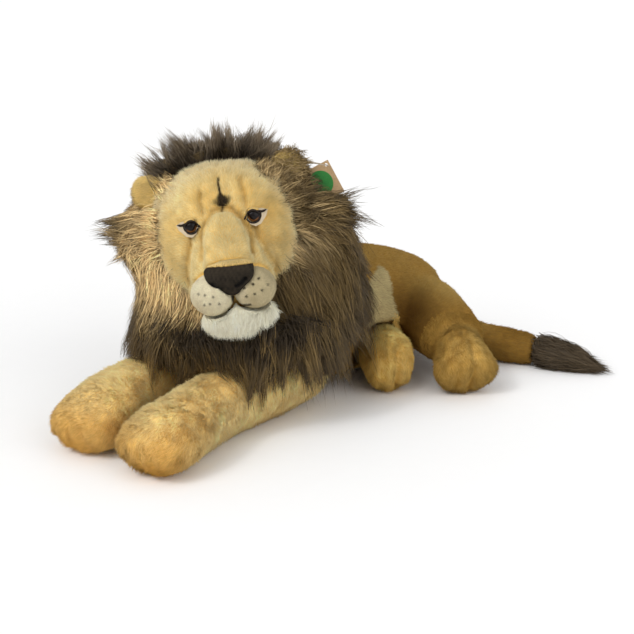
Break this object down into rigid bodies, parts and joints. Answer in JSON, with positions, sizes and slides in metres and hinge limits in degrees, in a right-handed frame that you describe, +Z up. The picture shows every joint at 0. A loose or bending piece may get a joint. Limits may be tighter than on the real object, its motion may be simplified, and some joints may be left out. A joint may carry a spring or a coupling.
{
  "type": "plush lion",
  "caption": "Lying stuffed plush lion with a long two-tone mane, a turned head, outstretched forelegs, hind feet to one side and a curved tail with a dark tuft.",
  "frame": {"origin": "on the floor, in the flat patch that the torso's underside rests on", "axes": "+X the lion's left, +Y towards its tail, +Z up"},
  "size_m": [0.5832, 0.8474, 0.4474],
  "materials": {
    "plush_tan": "matte",
    "plush_cream": "matte",
    "pile_dark": "matte",
    "pile_brown": "matte",
    "nose_suede": "matte",
    "eye_gloss": "gloss",
    "washer_plastic": "satin",
    "felt_white": "matte",
    "tag_card": "matte",
    "loop_nylon": "satin"
  },
  "bodies": {
    "body": {"torso": "plush_tan", "belly_gusset": "plush_cream", "haunch_left": "plush_tan", "haunch_right": "plush_tan"},
    "head": {"head": "plush_tan", "mane_crest": "pile_dark", "tag_loop": "loop_nylon", "snout": "plush_tan", "nose_bridge": "plush_tan", "nose": "nose_suede", "chin": "plush_cream", "whisker_pad_left": "plush_cream", "whisker_pad_right": "plush_cream", "eye_felt_left": "felt_white", "eye_felt_right": "felt_white", "eye_left": "eye_gloss", "eye_right": "eye_gloss", "eye_washer_left": "washer_plastic", "eye_washer_right": "washer_plastic", "ear_left": "plush_tan", "ear_right": "plush_tan", "mane_bib": "pile_dark", "mane_nape": "pile_brown", "mane_left": "pile_brown", "mane_right": "pile_brown"},
    "foreleg_left": {"foreleg_left": "plush_tan"},
    "foreleg_right": {"foreleg_right": "plush_tan"},
    "hind_foot_left": {"hind_foot_left": "plush_tan"},
    "hind_foot_right": {"hind_foot_right": "plush_tan"},
    "tail": {"tail": "plush_tan", "tail_tuft": "pile_dark"},
    "tag": {"hang_tag": "tag_card"}
  },
  "joints": [
    {"name": "neck_turn", "type": "hinge", "parent": "body", "child": "head", "pos_m": [-0.0045, -0.1974, 0], "axis": [0, 0, 1], "range_deg": [-10, 10], "stiffness_Nm_per_rad": 1.5},
    {"name": "foreleg_left_spread", "type": "hinge", "parent": "body", "child": "foreleg_left", "pos_m": [0.06756, -0.129, 0], "axis": [0, 0, 1], "range_deg": [0, 10], "stiffness_Nm_per_rad": 1},
    {"name": "foreleg_right_spread", "type": "hinge", "parent": "body", "child": "foreleg_right", "pos_m": [-0.07225, -0.129, 0], "axis": [0, 0, -1], "range_deg": [0, 10], "stiffness_Nm_per_rad": 1},
    {"name": "hind_foot_left_flex", "type": "hinge", "parent": "body", "child": "hind_foot_left", "pos_m": [0.19221, 0.1226, 0], "axis": [0, 0, 1], "range_deg": [-8, 8], "stiffness_Nm_per_rad": 0.5},
    {"name": "hind_foot_right_flex", "type": "hinge", "parent": "body", "child": "hind_foot_right", "pos_m": [0.06525, 0.0756, 0], "axis": [0, 0, 1], "range_deg": [-8, 8], "stiffness_Nm_per_rad": 0.5},
    {"name": "tail_swing", "type": "hinge", "parent": "body", "child": "tail", "pos_m": [0.09787, 0.2352, 0], "axis": [0, 0, 1], "range_deg": [-4, 20], "stiffness_Nm_per_rad": 0.3},
    {"name": "tag_swing", "type": "hinge", "parent": "head", "child": "tag", "pos_m": [0.07442, -0.07343, 0.38731], "axis": [-0.6461, 0.7432, -0.1736], "range_deg": [-20, 20]}
  ]
}
